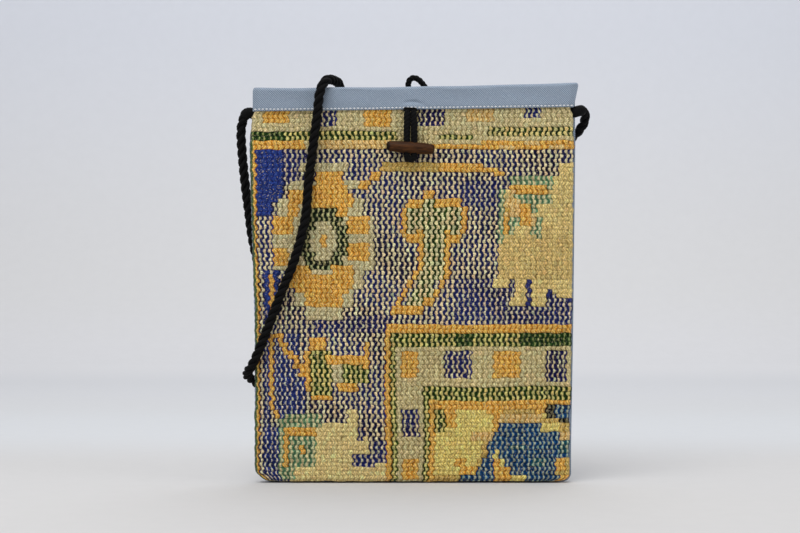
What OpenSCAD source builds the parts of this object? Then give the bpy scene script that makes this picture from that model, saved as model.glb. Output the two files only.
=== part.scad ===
// Flat shoulder pouch: a woven rug front and a cloth back sewn into one sack, a cloth band round its mouth,
// a twisted rope strap, and a wooden toggle on a doubled cord that goes through a cord loop.
// +Z is up, the rug front faces -Y, and the origin is the middle of the edge that the pouch stands on.

/* [Bag] */
// Height of the mouth above the base, at the middle
mouth_h = 281; // [240:1:320]
// How much the mouth rises from its left end to its right end
mouth_rise = 3; // [0:0.5:5]
// How far each face bows out from the side seams
belly = 7; // [6:0.5:9]
// Half of the space between the faces where they meet the base
base_gap = 3; // [1.5:0.5:4]
// Height at which the faces reach their full depth
taper_h = 60; // [40:5:90]
// Radius of the lower left corner
left_corner_r = 12; // [6:1:16]
// Radius of the lower right corner
right_corner_r = 8; // [6:1:16]

/* [Cloth] */
// Thickness of the rug, pile included
rug_t = 4; // [3:0.5:5]
// Thickness of the cloth back with its padding
back_t = 1.5; // [1:0.25:2]
// Thickness of each lining
lining_t = 1; // [0.6:0.1:1.2]
// Thickness of the folded band on each side of the cloth it binds
band_t = 1.2; // [0.8:0.1:1.6]
// Height of the band
band_h = 15.7; // [12:0.1:20]

/* [Strap] */
// Diameter of the strap rope
strap_d = 7; // [5:0.5:7]

/* [Closure] */
// Diameter of the cord of the toggle and the loop
closure_cord_d = 3.8; // [3:0.1:4]
// Distance between the two strands that carry the toggle
strand_pitch = 5.2; // [5:0.1:6]
// Length of the toggle
toggle_l = 33.8; // [28:0.2:40]
// Diameter of the toggle at its middle
toggle_mid_d = 8.6; // [8:0.1:9]
// Diameter of the toggle at its ends
toggle_end_d = 6.6; // [5:0.1:8]
// How far the right end of the toggle hangs down, in degrees
toggle_tilt = 4.4; // [0:0.2:8]
// Radius of the closure loop, to the middle of its cord
loop_r = 5.3; // [5:0.1:6]

/* [Hidden] */

// Clear gap between neighbouring layers of cloth
gap = 0.2;
// A length that reaches past the whole bag
past = 400;
// Outline of the sack: x at the base, at mid height and at the mouth, on each side
left_x = [-112.5, -112.5, -115];
right_x = [111, 112.5, 114];
side_z = [24, 110, 240];
// Ends of the band, and of the back cloth that shows past the rug's right edge
band_left_x = -114;
band_right_x = 116;
back_right_x = 1.5;
// Half of the chord across which the faces bow, and the radius of that bow
chord_half = 118;
bow_r = (chord_half * chord_half + belly * belly) / (2 * belly);

// Distances of the layers' faces from the seam plane
lining_in = gap;
lining_out = lining_in + lining_t;
shell_in = lining_out + gap;
rug_out = shell_in + rug_t;
back_out = shell_in + back_t;
front_band_out = rug_out + gap + band_t;
back_band_out = back_out + gap + band_t;
core_out = shell_in - gap / 2;
// Width of the sewn margin inside the sides, and height of the fold at the base
seam_w = 5;
fold_h = 4.2;
// Thread of the visible stitching, and how far it lies inside the edge it runs along
thread_d = 0.6;
stitch_in = 1;
edge_stitch_in = 3;

// Middle height of the strap's ends, and the piece of each tack that shows outside the seam
left_exit_z = 262.5;
right_exit_z = 264;
left_exit_x = -118;
right_exit_x = 118;
tack_h = 9;
tab_l = 7;
tab_t = 3;
tab_h = 5;

// The toggle hangs in front of the rug and its cord swings on an axis just below the band
closure_x = -2.1;
rug_face_y = -(rug_out + belly);
toggle_y = rug_face_y - toggle_mid_d / 2 - 0.3;
toggle_z = 237;
flip_z = 263.6;
bore_r = closure_cord_d / 2 + 0.2;
strand_low = toggle_z - toggle_mid_d / 2 - 0.6;

// The closure loop stands inside the mouth, against the back band
loop_x = 1.9;
loop_y = lining_in + belly - closure_cord_d / 2 - 0.4;
loop_z = 281.3;
loop_fold_z = 283;
loop_low = 267;
loop_tack_h = 4;

// Route of the strap: from the left seam down behind the left side, through a hanging turn behind the bag,
// round the left edge, up across the front, over the mouth, down and up behind the bag to the right seam
strap_route = [
    [-118, -0.5, 262.5], [-121, 0.5, 258.5], [-122.8, 2, 250], [-122.4, 4.5, 236], [-120.5, 7, 214],
    [-118, 8, 194], [-115, 9, 172], [-109, 10.5, 148], [-99, 12, 122], [-88, 13, 94],
    [-82, 13, 66], [-80, 13, 42], [-80.5, 13, 29], [-84, 12.9, 21], [-91.5, 12.6, 18],
    [-99, 12.3, 21], [-102.5, 12.1, 29], [-104, 12, 42], [-105, 12, 55], [-108.5, 11, 65.5], [-114, 7.8, 71.5],
    [-118, 1, 75.5], [-116.8, -6.8, 79.5], [-112, -11.2, 87.5], [-104, -12.2, 107], [-94, -13, 133], [-84, -13.8, 158],
    [-76.5, -14.2, 186], [-73.8, -14.5, 214], [-70.5, -15.3, 240], [-67.5, -16.6, 262], [-66, -17.2, 275],
    [-63, -14.8, 283], [-59.5, -8, 285.8], [-55.5, 5, 285.8], [-53, 12.6, 283.8], [-51.5, 16.2, 275],
    [-49, 15.8, 258], [-45, 14.5, 225], [-40, 14.5, 180], [-34, 14.5, 130], [-25, 14.5, 85],
    [-10, 14.5, 50], [12, 14.5, 30], [36, 14, 32], [56, 13.5, 58], [69, 13, 96],
    [80, 12.5, 140], [90, 12.5, 184], [100, 12.8, 220], [107, 13.2, 236], [113.8, 13.3, 245.5],
    [119.4, 12.7, 251.3], [122.7, 10.9, 257], [123, 7.7, 261.8], [121, 2.8, 264.6], [118, -1, 264]];
strap_sides = 10;

// Height of the mouth's edge at x
function mouth_z(x) = mouth_h + mouth_rise * x / (band_right_x - band_left_x);

// The part of a front view that lies lower than d below the mouth's edge
module below_mouth(d) {
    x = 130;
    polygon([[-x, -1], [x, -1], [x, mouth_z(x) - d], [-x, mouth_z(-x) - d]]);
}

// What a round corner of radius r takes off a square one, for side -1 at the left or 1 at the right
module corner_cut(x, z, r, side) {
    difference() {
        translate([side < 0 ? x - 1 : x - r, z - 1]) square(r + 1);
        translate([x - side * r, z + r]) circle(r = r, $fn = 96);
    }
}

// Front view of the sack, shrunk by inset on its sides and base
module sack_outline(inset = 0, extra_right = 0) {
    l = [for (x = left_x) x + inset];
    r = [for (x = right_x) x - inset + extra_right];
    top = mouth_h + 5;
    difference() {
        polygon([
            [l[0], inset], [l[0], side_z[0]], [l[1], side_z[1]], [l[2], side_z[2]], [l[2], top],
            [r[2], top], [r[2], side_z[2]], [r[1], side_z[1]], [r[0], side_z[0]], [r[0], inset]]);
        corner_cut(l[0], inset, left_corner_r, -1);
        corner_cut(r[0], inset, right_corner_r, 1);
    }
}

// Front view of the band
module band_outline(low = 0, high = 0) {
    intersection() {
        difference() {
            below_mouth(high);
            below_mouth(band_h - low);
        }
        translate([band_left_x, 0]) square([band_right_x - band_left_x, mouth_h + 20]);
    }
}

// Front view of the sewn margin along one side, between two heights
module side_margin(left, low, high) {
    x = 90;
    intersection() {
        difference() {
            sack_outline();
            sack_outline(seam_w);
        }
        translate([left ? -x - past : x, low]) square([past, high - low]);
    }
}

// A front view raised into a slab that reaches past the bag's depth
module slab() {
    rotate([90, 0, 0])
        linear_extrude(height = past, center = true)
            children();
}

// Plan of the space between two bowed faces, off in front of the seam plane and off behind it
module bowed_plan(off) {
    y = bow_r - off - belly;
    intersection() {
        translate([0, y]) circle(r = bow_r, $fn = 720);
        translate([0, -y]) circle(r = bow_r, $fn = 720);
        square([260, 60], center = true);
    }
}

// Side view of the same space, narrower towards the base
module tapered_side(off) {
    slope = (belly - base_gap) / taper_h;
    foot = off + base_gap - slope;
    full = off + belly + 1;
    high = (belly + 1 - base_gap) / slope;
    polygon([[foot, -1], [full, high], [full, mouth_h + 20], [-full, mouth_h + 20], [-full, high], [-foot, -1]]);
}

// Everything between two bowed faces
module bowed_block(off) {
    intersection() {
        translate([0, 0, -1]) linear_extrude(height = mouth_h + 20) bowed_plan(off);
        rotate([90, 0, 90]) linear_extrude(height = past, center = true) tapered_side(off);
    }
}

// A layer of the front, between two faces, cut to the front view given as children
module front_layer(inner, outer) {
    intersection() {
        difference() {
            bowed_block(outer);
            bowed_block(inner);
            translate([-past / 2, 0, -2]) cube([past, 60, mouth_h + 40]);
        }
        slab() children();
    }
}

module back_layer(inner, outer) {
    mirror([0, 1, 0]) front_layer(inner, outer) children();
}

// The space between the two shells, cut to the front view given as children
module core_layer() {
    intersection() {
        bowed_block(core_out);
        slab() children();
    }
}

// How far a face bows out at x
function bow(x) = belly - bow_r + sqrt(bow_r * bow_r - x * x);

// The sewn margin of one side, between two heights, which thins to the sack's edge
module margin_strip(left, low, high) {
    side = left ? -1 : 1;
    x = chord_half - 3 * seam_w;
    intersection() {
        translate([0, 0, low]) linear_extrude(height = high - low)
            polygon([for (c = [[x, -1], [chord_half, -1], [chord_half, 1], [x, 1]])
                [side * c[0], c[1] * (core_out + bow(c[0]))]]);
        slab() side_margin(left, low, high);
    }
}

// A cloth band folded over the edge of the layer between shell_in and shell_out
module folded_band(shell_out, outer) {
    difference() {
        front_layer(lining_in, outer) band_outline();
        front_layer(lining_out, shell_out + gap) band_outline(-1, band_t + gap);
    }
}

module front_rug_panel() {
    color("tan")
        front_layer(shell_in, rug_out)
            intersection() {
                sack_outline();
                below_mouth(band_t + 2 * gap);
            }
}

module back_panel() {
    color("lightsteelblue")
        back_layer(shell_in, back_out)
            intersection() {
                sack_outline(0, back_right_x);
                below_mouth(band_t + 2 * gap);
            }
}

module lining_outline() {
    intersection() {
        sack_outline(seam_w + gap);
        below_mouth(band_h + gap);
    }
}

module front_lining() {
    color("whitesmoke") front_layer(lining_in, lining_out) lining_outline();
}

module back_lining() {
    color("whitesmoke") back_layer(lining_in, lining_out) lining_outline();
}

module front_band() {
    color("lightsteelblue") folded_band(rug_out, front_band_out);
}

module back_band() {
    color("lightsteelblue") mirror([0, 1, 0]) folded_band(back_out, back_band_out);
}

module bottom_fold() {
    color("burlywood")
        core_layer()
            intersection() {
                sack_outline();
                translate([-past / 2, 0]) square([past, fold_h]);
            }
}

module side_seam(left, exit_z) {
    color("burlywood") margin_strip(left, fold_h + gap, exit_z - tack_h - gap);
}

module left_side_seam() {
    side_seam(true, left_exit_z);
}

module right_side_seam() {
    side_seam(false, right_exit_z);
}

// A line of thread that runs along the band's lower edge
module band_stitch_line() {
    band_outline(stitch_in, band_h - stitch_in - thread_d);
}

module front_band_stitching() {
    color("white")
        front_layer(front_band_out + 0.1, front_band_out + 0.1 + thread_d) band_stitch_line();
}

module back_band_stitching() {
    color("white")
        back_layer(back_band_out + 0.1, back_band_out + 0.1 + thread_d) band_stitch_line();
}

// A line of thread on the back cloth, cut from its rim by the front view given as children
module edge_stitch() {
    color("white")
        back_layer(back_out + 0.1, back_out + 0.1 + thread_d)
            intersection() {
                difference() {
                    sack_outline(edge_stitch_in);
                    sack_outline(edge_stitch_in + thread_d);
                }
                children();
            }
}

module left_edge_stitching() {
    edge_stitch() translate([-past, 20]) square([past, 240]);
}

module right_edge_stitching() {
    edge_stitch() translate([0, 20]) square([past, 240]);
}

module bottom_edge_stitching() {
    edge_stitch() translate([-90, 0]) square([180, 15]);
}

// The strap's sewn-in end: flat inside the seam, with a short tab that shows past the edge
module strap_tack(left, exit_x, exit_z) {
    inner_x = exit_x - (left ? -tab_l : tab_l);
    color("black") union() {
        margin_strip(left, exit_z - tack_h, exit_z);
        translate([min(exit_x, inner_x), -tab_t / 2, exit_z - tab_h])
            cube([tab_l, tab_t, tab_h]);
    }
}

module left_strap_tack() {
    strap_tack(true, left_exit_x, left_exit_z);
}

module right_strap_tack() {
    strap_tack(false, right_exit_x, right_exit_z);
}

function unit(v) = v / norm(v);
function tangent(p, i) = unit(p[min(i + 1, len(p) - 1)] - p[max(i - 1, 0)]);
// Direction of the polyline p at its point i, and a vector square to it, carried along without twist
function carried(p, start) = [
    for (i = 0, u = unit(cross(tangent(p, 0), start)); i < len(p);
        i = i + 1, u = i < len(p) ? unit(u - (u * tangent(p, i)) * tangent(p, i)) : u) u];

// A round tube along the points p
module tube(p, d, sides) {
    u = carried(p, [0, 0, 1]);
    rings = [for (i = [0 : len(p) - 1]) let (t = tangent(p, i), v = cross(t, u[i]))
        for (k = [0 : sides - 1]) p[i] + d / 2 * (cos(360 * k / sides) * u[i] + sin(360 * k / sides) * v)];
    last = sides * (len(p) - 1);
    polyhedron(points = rings, faces = concat(
        [[for (k = [0 : sides - 1]) k]],
        [[for (k = [sides - 1 : -1 : 0]) last + k]],
        [for (i = [0 : len(p) - 2], k = [0 : sides - 1]) let (a = i * sides, m = (k + 1) % sides)
            [a + k, a + sides + k, a + m]],
        [for (i = [0 : len(p) - 2], k = [0 : sides - 1]) let (a = i * sides, m = (k + 1) % sides)
            [a + m, a + sides + k, a + sides + m]]));
}

module strap_cord() {
    color("black") tube(strap_route, strap_d, strap_sides);
}

// A barrel that narrows to its ends, drilled across for the two strands
module toggle() {
    mid_flat = 6;
    end_round = 1;
    color("saddlebrown") difference() {
        translate([closure_x, toggle_y, toggle_z]) rotate([0, 90 + toggle_tilt, 0])
            rotate_extrude($fn = 96)
                polygon([
                    [0, -toggle_l / 2], [toggle_end_d / 2 - end_round, -toggle_l / 2],
                    [toggle_end_d / 2, -toggle_l / 2 + end_round], [toggle_mid_d / 2, -mid_flat],
                    [toggle_mid_d / 2, mid_flat], [toggle_end_d / 2, toggle_l / 2 - end_round],
                    [toggle_end_d / 2 - end_round, toggle_l / 2], [0, toggle_l / 2]]);
        for (side = [-1, 1])
            translate([closure_x + side * strand_pitch / 2, toggle_y, toggle_z - 10])
                cylinder(r = bore_r, h = 20, $fn = 64);
    }
}

// Two strands and the turn that holds the toggle from below, with a round stretch at the axis they swing on
module toggle_cord() {
    color("black") union() {
        translate([closure_x - strand_pitch / 2, toggle_y, flip_z]) rotate([0, 90, 0])
            cylinder(d = closure_cord_d, h = strand_pitch, $fn = 48);
        for (side = [-1, 1])
            translate([closure_x + side * strand_pitch / 2, toggle_y, 0]) {
                translate([0, 0, strand_low])
                    cylinder(d = closure_cord_d, h = flip_z - strand_low, $fn = 48);
                translate([0, 0, flip_z]) sphere(d = closure_cord_d, $fn = 48);
            }
        translate([closure_x, toggle_y, strand_low]) rotate([-90, 0, 0])
            rotate_extrude(angle = 180, $fn = 96)
                translate([strand_pitch / 2, 0]) circle(d = closure_cord_d, $fn = 48);
    }
}

// Thread bar that holds the strands to the rug under the band
module toggle_cord_tack() {
    w = strand_pitch + closure_cord_d + 2;
    low = flip_z - 0.9;
    color("black")
        translate([closure_x - w / 2, rug_face_y - 2.1, low])
            cube([w, 2, mouth_z(closure_x) - band_h - gap - low]);
}

// The bow of the loop that stands above the mouth and folds over, with round ends on its folding axis
module closure_loop() {
    cut = asin((loop_fold_z - loop_z) / loop_r);
    end_d = closure_cord_d - 0.1;
    color("black") union() {
        translate([loop_x, loop_y, loop_z]) rotate([90, 0, 0]) rotate([0, 0, cut])
            rotate_extrude(angle = 180 - 2 * cut, $fn = 96)
                translate([loop_r, 0]) circle(d = closure_cord_d, $fn = 48);
        for (side = [-1, 1])
            translate([loop_x + side * loop_r * cos(cut), loop_y, loop_fold_z])
                sphere(d = end_d, $fn = 48);
    }
}

// The loop's two legs, inside the mouth
module loop_root() {
    color("black") for (side = [-1, 1])
        translate([loop_x + side * loop_r, loop_y, loop_low])
            cylinder(d = closure_cord_d, h = loop_fold_z - closure_cord_d / 2 - gap - loop_low, $fn = 48);
}

// Thread bar that sews the legs' ends to the back band
module loop_tack() {
    r = closure_cord_d / 2;
    color("black")
        translate([loop_x - loop_r - r, loop_y - r, loop_low - gap - loop_tack_h])
            cube([2 * (loop_r + r), 2 * r, loop_tack_h]);
}

front_rug_panel();
back_panel();
front_lining();
back_lining();
front_band();
back_band();
bottom_fold();
left_side_seam();
right_side_seam();
front_band_stitching();
back_band_stitching();
left_edge_stitching();
right_edge_stitching();
bottom_edge_stitching();
strap_cord();
left_strap_tack();
right_strap_tack();
toggle();
toggle_cord();
toggle_cord_tack();
closure_loop();
loop_root();
loop_tack();
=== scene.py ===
"""Flat shoulder pouch: a rug front, a twill back and band, a rope strap, and a wooden toggle on a cord.

Shapes are worked out in millimetres in the shared frame and become metres when their mesh is made.
"""

import math

import bmesh
import bpy
import numpy as np
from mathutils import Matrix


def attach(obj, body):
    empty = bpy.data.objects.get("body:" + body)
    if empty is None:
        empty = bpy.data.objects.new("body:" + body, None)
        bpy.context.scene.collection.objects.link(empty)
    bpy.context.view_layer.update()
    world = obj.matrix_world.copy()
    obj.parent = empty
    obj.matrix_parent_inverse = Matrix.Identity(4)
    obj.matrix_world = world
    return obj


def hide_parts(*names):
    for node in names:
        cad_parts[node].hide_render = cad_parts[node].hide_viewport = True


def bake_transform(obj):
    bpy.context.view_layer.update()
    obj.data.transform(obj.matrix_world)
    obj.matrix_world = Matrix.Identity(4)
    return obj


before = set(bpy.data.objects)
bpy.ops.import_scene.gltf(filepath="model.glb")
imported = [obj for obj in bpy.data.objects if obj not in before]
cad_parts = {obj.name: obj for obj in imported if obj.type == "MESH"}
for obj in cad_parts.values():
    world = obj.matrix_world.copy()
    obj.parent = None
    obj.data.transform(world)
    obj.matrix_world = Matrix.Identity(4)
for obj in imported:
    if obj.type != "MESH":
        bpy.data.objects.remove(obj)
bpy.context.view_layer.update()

MM = 0.001
TURN = math.tau

# Depth of the sack's layers
BELLY = 7
BASE_GAP = 3
TAPER_H = 60
CHORD_HALF = 118
BOW_R = (CHORD_HALF**2 + BELLY**2) / (2 * BELLY)
LINING_IN = 0.2
LINING_OUT = 1.2
CORE_OUT = 1.3
SHELL_IN = 1.4
RUG_OUT = 5.4
BACK_OUT = 2.9
FRONT_BAND_OUT = 6.8
BACK_BAND_OUT = 4.3

# Outline of the sack and the band
SIDE_Z = [24, 110, 240, 262]
LEFT_X = [-112.5, -112.6, -116.4, -114]
RIGHT_X = [111, 112.5, 114, 113.7]
LEFT_CORNER_R = 12
RIGHT_CORNER_R = 6.5
MOUTH_H = 281
MOUTH_RISE = 3
BAND_LEFT = -114
BAND_RIGHT = 116
BAND_H = 15.7

# The closure
STRAND_X = [-4.7, 0.5]
CLOSURE_X = -2.1
TOGGLE_Y = -17
TOGGLE_Z = 237
LOOP_Y = 4.9

STRAP_ROUTE = [
    (-118, -0.5, 262.5), (-121, 0.5, 258.5), (-122.8, 2, 250), (-122.4, 4.5, 236), (-120.5, 7, 214),
    (-118, 8, 194), (-115, 9, 172), (-109, 10.5, 148), (-99, 12, 122), (-88, 13, 94), (-82, 13, 66),
    (-80, 13, 42), (-80.5, 13, 29), (-84, 12.9, 21), (-91.5, 12.6, 18), (-99, 12.3, 21),
    (-102.5, 12.1, 29), (-104, 12, 42), (-105, 12, 55), (-108.5, 11, 65.5), (-114, 7.8, 71.5),
    (-118, 1, 75.5), (-116.8, -6.8, 79.5), (-112, -11.2, 87.5), (-104, -12.2, 107), (-94, -13, 133),
    (-84, -13.8, 158), (-76.5, -14.2, 186), (-73.8, -14.5, 214), (-70.5, -15.3, 240), (-67.5, -16.6, 262),
    (-66, -17.2, 275), (-63, -14.8, 283), (-59.5, -8, 285.8), (-55.5, 5, 285.8), (-53, 12.6, 283.8),
    (-51.5, 16.2, 275), (-49, 15.8, 258), (-45, 14.5, 225), (-40, 14.5, 180), (-34, 14.5, 130),
    (-25, 14.5, 85), (-10, 14.5, 50), (12, 14.5, 30), (36, 14, 32), (56, 13.5, 58), (69, 13, 96),
    (80, 12.5, 140), (90, 12.5, 184), (100, 12.8, 220), (107, 13.2, 236), (113.8, 13.3, 245.5),
    (119.4, 12.7, 251.3), (122.7, 10.9, 257), (123, 7.7, 261.8), (121, 2.8, 264.6), (118, -1, 264),
]


# --- Numbers and curves ---

def linear(rgb):
    """An 8-bit screen colour as linear red, green and blue."""
    c = np.asarray(rgb, float) / 255
    return np.where(c <= 0.04045, c / 12.92, ((c + 0.055) / 1.055) ** 2.4)


def smooth(t):
    t = np.clip(t, 0, 1)
    return t * t * (3 - 2 * t)


def xyz(x, y, z):
    """Points from their coordinates, any of which may be one number for all of them."""
    return np.stack(np.broadcast_arrays(x, y, z), axis=-1)


def unit(vectors):
    return vectors / np.linalg.norm(vectors, axis=1)[:, None]


def run_along(points):
    """How far along the line each point lies."""
    return np.concatenate([[0], np.cumsum(np.linalg.norm(np.diff(points, axis=0), axis=1))])


def edge_fall(inside, r):
    """How far a face falls back at a distance inside its edge, when the edge is rounded by r."""
    cut = np.clip(r - inside, 0, r)
    return r - np.sqrt(r * r - cut * cut)


def hump(x, z, x0, z0, wide, high):
    """A rounded bump of height 1 at (x0, z0)."""
    return np.exp(-(((x - x0) / wide) ** 2) - ((z - z0) / high) ** 2)


def ripple(x, z, size, seed):
    """Gentle unevenness, mostly between -1 and 1, with features about size long."""
    waves = 6
    rng = np.random.default_rng(seed)
    total = 0
    for _ in range(waves):
        way = rng.uniform(0, TURN)
        k = TURN / (size * rng.uniform(0.7, 1.6))
        total = total + np.sin(k * (x * math.cos(way) + z * math.sin(way)) + rng.uniform(0, TURN))
    return total / (1.3 * math.sqrt(waves))


def bow(x):
    """How far a face bows out at x."""
    return BELLY - BOW_R + np.sqrt(BOW_R**2 - np.asarray(x, float) ** 2)


def depth(x, z):
    """How far a face stands out from its place at the side seams, with a soft change towards the base."""
    low = BASE_GAP + np.asarray(z, float) * (BELLY - BASE_GAP) / TAPER_H
    full = bow(x)
    h = np.clip(0.5 + 0.5 * (low - full), 0, 1)
    return low * (1 - h) + full * h - h * (1 - h)


def mouth_z(x):
    return MOUTH_H + MOUTH_RISE * x / (BAND_RIGHT - BAND_LEFT)


def side_x(z, side, inset=0.0, extra_right=0.0):
    """x of the sack's left or right edge at height z, rounded at the lower corner."""
    if side < 0:
        x, r = np.interp(z, SIDE_Z, LEFT_X) + inset, LEFT_CORNER_R
    else:
        x, r = np.interp(z, SIDE_Z, RIGHT_X) - inset + extra_right, RIGHT_CORNER_R
    return x - side * edge_fall(z - inset, r)


def spline(points, step):
    """A smooth curve through the points, as points about step apart."""
    p = np.array(points, float)
    out = []
    for i in range(len(p) - 1):
        a, b, c, d = p[max(i - 1, 0)], p[i], p[i + 1], p[min(i + 2, len(p) - 1)]
        for t in np.linspace(0, 1, 24, endpoint=False):
            out.append(0.5 * (2 * b + (c - a) * t + (2 * a - 5 * b + 4 * c - d) * t * t
                              + (3 * b - a - 3 * c + d) * t**3))
    out = np.array(out + [p[-1]])
    run = run_along(out)
    even = np.linspace(0, run[-1], int(round(run[-1] / step)) + 1)
    return xyz(*(np.interp(even, run, out[:, k]) for k in range(3)))


def frames(points):
    """Two vectors square to the line of points, carried along it without twist."""
    t = unit(np.gradient(points, axis=0))
    first = np.cross(t[0], (0.0, 0.0, 1.0))
    if np.linalg.norm(first) < 0.1:
        first = np.cross(t[0], (1.0, 0.0, 0.0))
    a = np.zeros_like(points)
    a[0] = first / np.linalg.norm(first)
    for i in range(1, len(points)):
        side = a[i - 1] - t[i] * (a[i - 1] @ t[i])
        a[i] = side / np.linalg.norm(side)
    return a, np.cross(t, a)


# --- Meshes ---

def grid_faces(rows, cols, start=0, wrap=False):
    """Quads of a grid of points, row after row; wrap joins each row's end to its start."""
    across = cols if wrap else cols - 1
    r, c = np.meshgrid(np.arange(rows - 1), np.arange(across), indexing="ij")
    r, c = r.ravel(), c.ravel()
    n = (c + 1) % cols
    return start + np.stack([r * cols + c, r * cols + n, (r + 1) * cols + n, (r + 1) * cols + c], axis=1)


def border(rows, cols):
    """The border of a grid of points, once round."""
    top = np.arange(cols)
    right = np.arange(1, rows) * cols + cols - 1
    bottom = (rows - 1) * cols + np.arange(cols - 2, -1, -1)
    left = np.arange(rows - 2, 0, -1) * cols
    return np.concatenate([top, right, bottom, left])


def add_object(name, data, location=(0.0, 0.0, 0.0), turn=(0.0, 0.0, 0.0)):
    obj = bpy.data.objects.new(name, data)
    obj.location = location
    obj.rotation_euler = turn
    bpy.context.scene.collection.objects.link(obj)
    return obj


def make_mesh(name, points, faces):
    """A piece from points in millimetres, with its faces turned outwards."""
    mesh = bpy.data.meshes.new(name)
    mesh.from_pydata((np.reshape(points, (-1, 3)) * MM).tolist(), [], [list(map(int, f)) for f in faces])
    work = bmesh.new()
    work.from_mesh(mesh)
    bmesh.ops.recalc_face_normals(work, faces=work.faces)
    work.to_mesh(mesh)
    work.free()
    mesh.shade_smooth()
    return add_object(name, mesh)


def set_vectors(obj, name, values, domain="POINT"):
    data = obj.data.attributes.new(name, "FLOAT_VECTOR", domain)
    data.data.foreach_set("vector", np.asarray(values, np.float32).ravel())


def corner_colours(obj, name, face_colours):
    """One colour for each face, kept at its corners so that its edges stay crisp."""
    counts = np.zeros(len(obj.data.polygons), int)
    obj.data.polygons.foreach_get("loop_total", counts)
    set_vectors(obj, name, np.repeat(face_colours, counts, axis=0), "CORNER")


def slab(name, x, z, y_out, y_in):
    """A closed slab between two faces given on the same grid."""
    rows, cols = x.shape
    n = rows * cols
    ring = border(rows, cols)
    after = np.roll(ring, -1)
    rim = np.stack([ring, after, after + n, ring + n], axis=1)
    faces = np.concatenate([grid_faces(rows, cols), grid_faces(rows, cols, n)[:, ::-1], rim])
    return make_mesh(name, [xyz(x, y_out, z), xyz(x, y_in, z)], faces)


def ring_angles(sides):
    return np.arange(sides) * TURN / sides


def circles(centres, radii, a, b, sides):
    """A ring of points round each centre, in the plane of a and b."""
    around = ring_angles(sides)[None, :, None]
    r = np.broadcast_to(np.asarray(radii, float), (len(centres),))[:, None, None]
    return centres[:, None] + r * (np.cos(around) * a[:, None] + np.sin(around) * b[:, None])


def tube(points, radii, sides):
    """Rings of a tube along the points."""
    return circles(points, radii, *frames(points), sides)


def tube_piece(name, *tubes):
    """One piece from the rings of its tubes, with one face over each end of each tube."""
    faces = []
    start = 0
    for rings in tubes:
        rows, cols = rings.shape[:2]
        last = start + (rows - 1) * cols
        faces += grid_faces(rows, cols, start, wrap=True).tolist()
        faces += [list(range(start, start + cols)), list(range(last, last + cols))]
        start += rows * cols
    return make_mesh(name, np.concatenate([rings.reshape(-1, 3) for rings in tubes]), faces)


def fibres(obj, along, around):
    """The fibre attribute: how far along its ply a point lies, and the direction round it."""
    set_vectors(obj, "fibre", xyz(along, np.cos(around), np.sin(around)))


def plied(name, line, plies, offset, ply_r, pitch, sides, thin=1.0):
    """Plies twisted round a line, thinner where thin is below 1."""
    thin = np.broadcast_to(np.asarray(thin, float), (len(line),))
    a, b = frames(line)
    run = run_along(line)
    tubes = []
    for k in range(plies):
        turn = TURN * (run / pitch + k / plies)
        out = np.cos(turn)[:, None] * a + np.sin(turn)[:, None] * b
        centre = line + offset * thin[:, None] * out
        t = unit(np.gradient(centre, axis=0))
        side = unit(np.cross(t, out))
        tubes.append(circles(centre, ply_r * thin, np.cross(side, t), side, sides))
    obj = tube_piece(name, *tubes)
    along = np.tile(np.repeat(run / pitch, sides), plies)
    fibres(obj, along, np.tile(ring_angles(sides), len(line) * plies))
    return obj


def stitches(name, centres, length, radius, inwards):
    """A row of stitches, each one a short length of thread that dips into the cloth at both ends."""
    ways = unit(np.gradient(centres, axis=0))
    along = np.linspace(-1, 1, 9)
    dip = np.outer(along**2 * radius, inwards)
    radii = radius * np.sqrt(1.02 - along**2)
    return tube_piece(name, *(tube(centre + np.outer(along * length / 2, way) + dip, radii, sides=8)
                              for centre, way in zip(centres, ways)))


# --- Shader parts ---

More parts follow.
